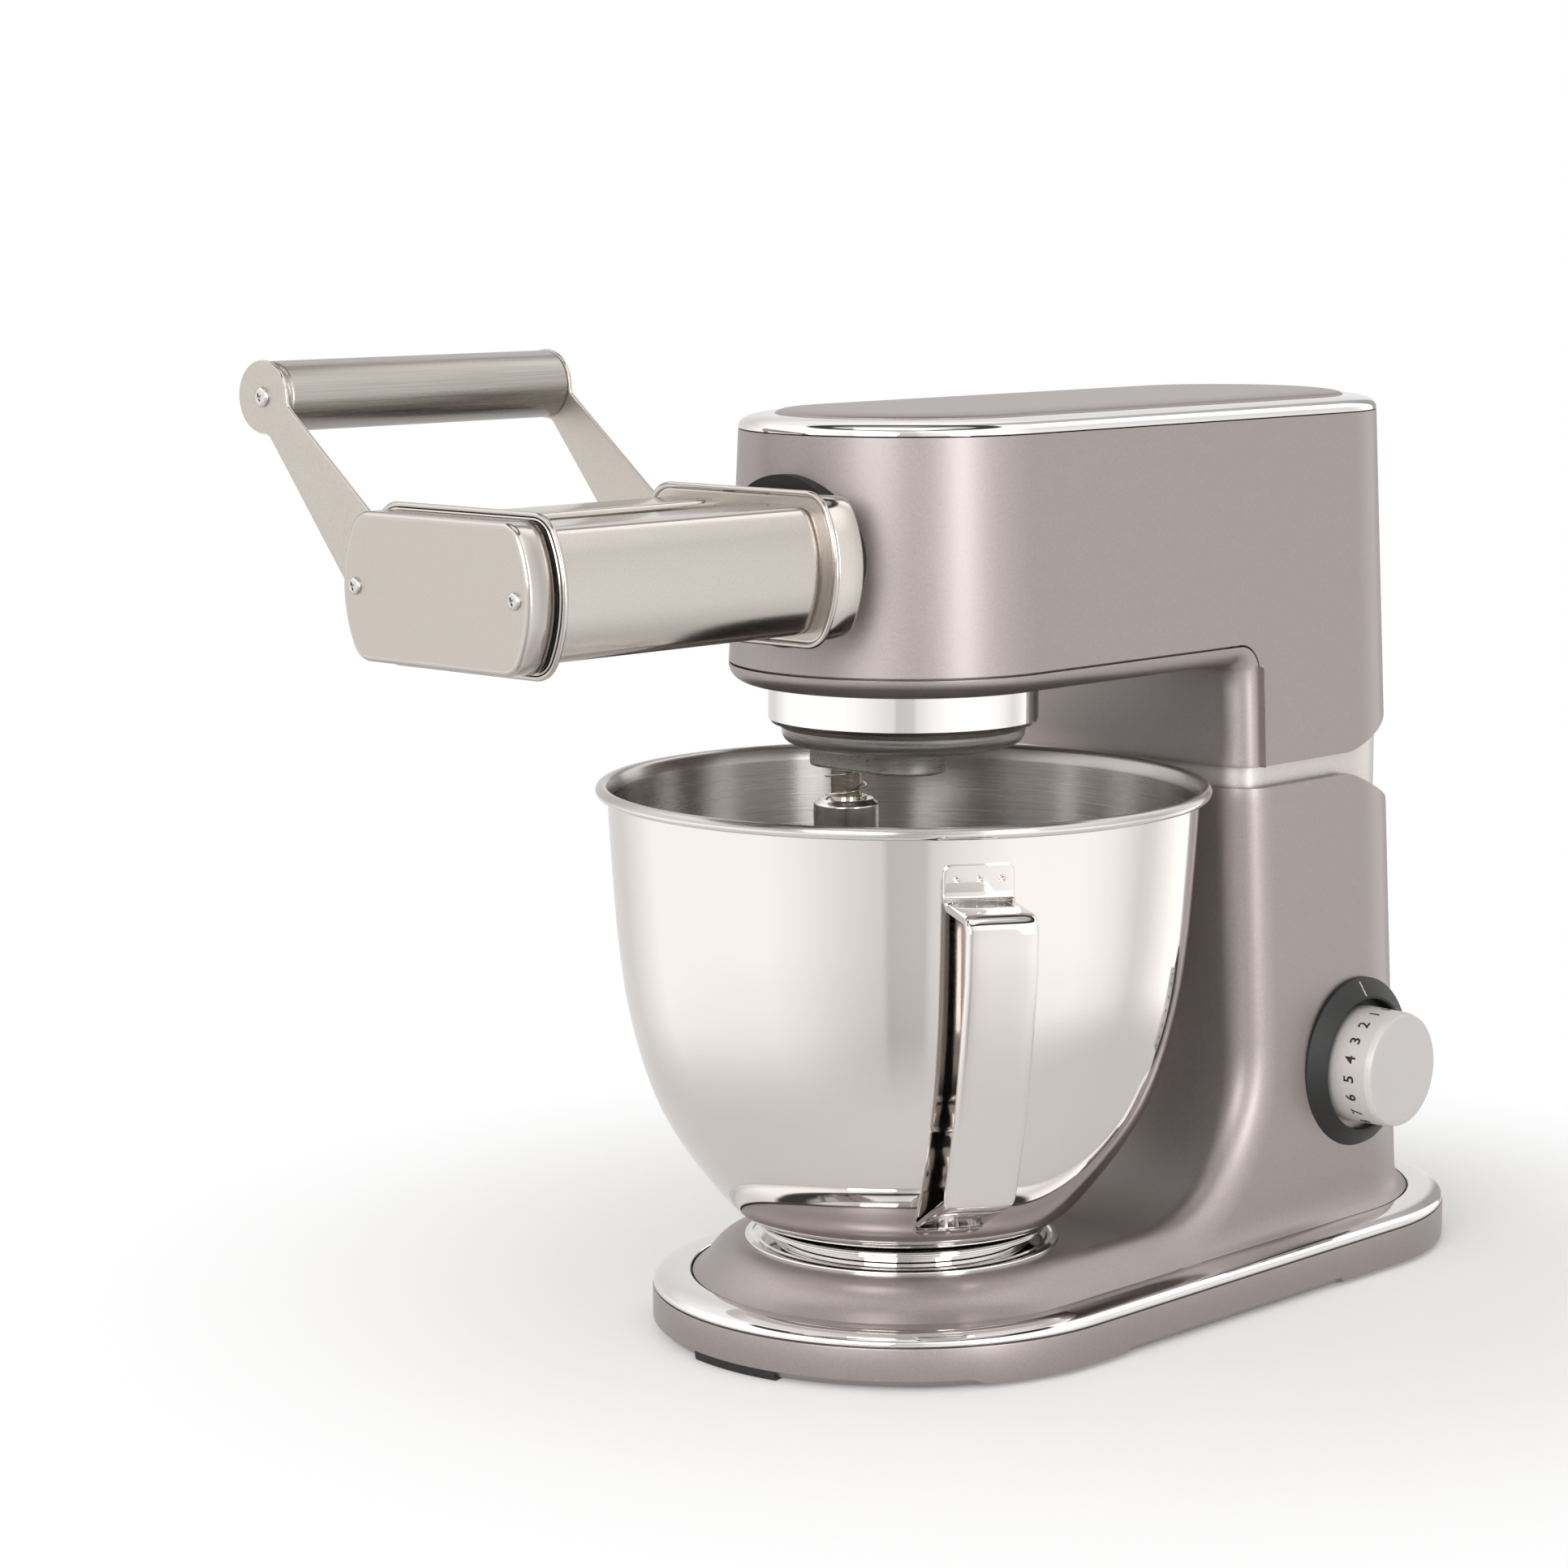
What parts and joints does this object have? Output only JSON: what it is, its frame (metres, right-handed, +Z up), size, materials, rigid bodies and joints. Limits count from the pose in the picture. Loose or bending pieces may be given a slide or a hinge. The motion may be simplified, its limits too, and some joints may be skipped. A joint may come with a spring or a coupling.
{
  "type": "stand mixer with pasta roller attachment",
  "caption": "Tilt-head stand mixer with a steel bowl and a pasta roller attachment with a folding lifting handle on its front drive.",
  "frame": {"origin": "on the table under the middle of the bowl, where the middle foot stands", "axes": "+Z up, -Y towards the pasta roller attachment at the front, +X towards the side with the speed dial"},
  "size_m": [0.2513, 0.5468, 0.3841],
  "materials": {
    "taupe_lacquer": "satin",
    "bright_trim": "polished",
    "silver_lacquer": "satin",
    "bowl_steel": "polished",
    "socket_steel": "polished",
    "brushed_sheet": "brushed",
    "brushed_tube": "brushed",
    "ground_steel": "ground",
    "gear_steel": "machined",
    "cast_alloy": "as cast",
    "pressed_steel": "plain",
    "black_plastic": "satin",
    "knob_silver": "satin",
    "foot_rubber": "matte",
    "belt_rubber": "matte",
    "winding_brass": "wound",
    "green_board": "satin"
  },
  "bodies": {
    "stand": {"base_pan": "taupe_lacquer", "bottom_plate": "pressed_steel", "feet": "foot_rubber", "base_screws": "ground_steel", "base_trim": "bright_trim", "pedestal": "taupe_lacquer", "bowl_socket": "socket_steel", "neck": "silver_lacquer", "hinge_pin": "ground_steel", "dial_ring": "black_plastic", "speed_switch": "black_plastic", "control_board": "green_board", "cord_gland": "black_plastic", "latch_spring": "ground_steel"},
    "dial": {"speed_knob": "knob_silver"},
    "release": {"release_button": "bright_trim"},
    "head": {"head_shell": "taupe_lacquer", "head_underside": "taupe_lacquer", "head_trim": "bright_trim", "head_cover": "taupe_lacquer", "head_frame": "cast_alloy", "nose_ring": "black_plastic", "hub_collar": "bright_trim", "ring_gear": "gear_steel", "motor_case": "pressed_steel", "shaft_bearings": "gear_steel", "planet_bearing": "gear_steel", "drive_belt": "belt_rubber"},
    "rotor": {"motor_rotor": "winding_brass", "cooling_fan": "black_plastic", "motor_pulley": "gear_steel"},
    "driveline": {"drive_shaft": "gear_steel", "drive_pulley": "cast_alloy", "pinion": "gear_steel", "drive_coupler": "gear_steel"},
    "planetary": {"planet_shaft": "gear_steel", "crown_gear": "gear_steel", "planet_carrier": "bright_trim"},
    "tool": {"tool_shaft": "ground_steel", "planet_gear": "gear_steel", "tool_spring": "ground_steel", "tool_collar": "ground_steel"},
    "mixing_bowl": {"bowl": "bowl_steel", "bowl_foot": "bowl_steel", "bowl_handle": "bowl_steel"},
    "attachment": {"outer_flange": "brushed_sheet", "inner_flange": "brushed_sheet", "outer_cover": "brushed_sheet", "inner_cover": "brushed_sheet", "front_cowl": "brushed_sheet", "rear_cowl": "brushed_sheet", "cover_screws": "ground_steel", "spigot": "black_plastic"},
    "input": {"input_shaft": "gear_steel"},
    "roller_a": {"drive_roller": "ground_steel"},
    "roller_b": {"idle_roller": "ground_steel"},
    "handle": {"handle_arms": "brushed_sheet", "handle_tube": "brushed_tube", "handle_screws": "ground_steel"}
  },
  "joints": [
    {"name": "head_tilt", "type": "hinge", "parent": "stand", "child": "head", "pos_m": [0, 0.198, 0.20975], "axis": [-1, 0, 0], "range_deg": [0, 24]},
    {"name": "speed_turn", "type": "hinge", "parent": "stand", "child": "dial", "pos_m": [0.09, 0.2005, 0.084], "axis": [-1, 0, 0], "range_deg": [0, 180]},
    {"name": "release_push", "type": "slide", "parent": "stand", "child": "release", "axis": [1, 0, 0], "range_m": [0, 0.004], "stiffness_N_per_m": 500, "springref_m": -0.003, "deforming": ["latch_spring"]},
    {"name": "bowl_twist", "type": "hinge", "parent": "stand", "child": "mixing_bowl", "pos_m": [0, 0, 0.04], "axis": [0, 0, 1], "range_deg": [0, 20]},
    {"name": "planet_spin", "type": "hinge", "parent": "head", "child": "planetary", "pos_m": [0, 0, 0.26], "axis": [0, 0, 1], "continuous": true},
    {"name": "tool_spin", "type": "hinge", "parent": "planetary", "child": "tool", "pos_m": [-0.03, 0, 0.24], "axis": [0, 0, 1], "continuous": true},
    {"name": "shaft_spin", "type": "hinge", "parent": "head", "child": "driveline", "pos_m": [0, 0, 0.307], "axis": [0, 1, 0], "continuous": true},
    {"name": "motor_spin", "type": "hinge", "parent": "head", "child": "rotor", "pos_m": [0, 0.18, 0.265], "axis": [0, 1, 0], "continuous": true},
    {"name": "attachment_pull", "type": "slide", "parent": "head", "child": "attachment", "axis": [0, -1, 0], "range_m": [0, 0.03]},
    {"name": "input_spin", "type": "hinge", "parent": "attachment", "child": "input", "pos_m": [0, -0.08, 0.307], "axis": [0, 1, 0], "continuous": true},
    {"name": "drive_roller_spin", "type": "hinge", "parent": "attachment", "child": "roller_a", "pos_m": [0.017, -0.16, 0.3075], "axis": [0, 1, 0], "continuous": true},
    {"name": "idle_roller_spin", "type": "hinge", "parent": "attachment", "child": "roller_b", "pos_m": [-0.017, -0.16, 0.3075], "axis": [0, 1, 0], "continuous": true},
    {"name": "handle_swing", "type": "hinge", "parent": "attachment", "child": "handle", "pos_m": [-0.0408, -0.16, 0.3075], "axis": [0, 1, 0], "range_deg": [-40, 45]}
  ],
  "couplings": [
    {"joint": "tool_spin", "follows": "planet_spin", "ratio": -3},
    {"joint": "shaft_spin", "follows": "planet_spin", "ratio": 3},
    {"joint": "motor_spin", "follows": "planet_spin", "ratio": 10.5},
    {"joint": "input_spin", "follows": "planet_spin", "ratio": 3},
    {"joint": "drive_roller_spin", "follows": "planet_spin", "ratio": -2},
    {"joint": "idle_roller_spin", "follows": "planet_spin", "ratio": 2}
  ]
}
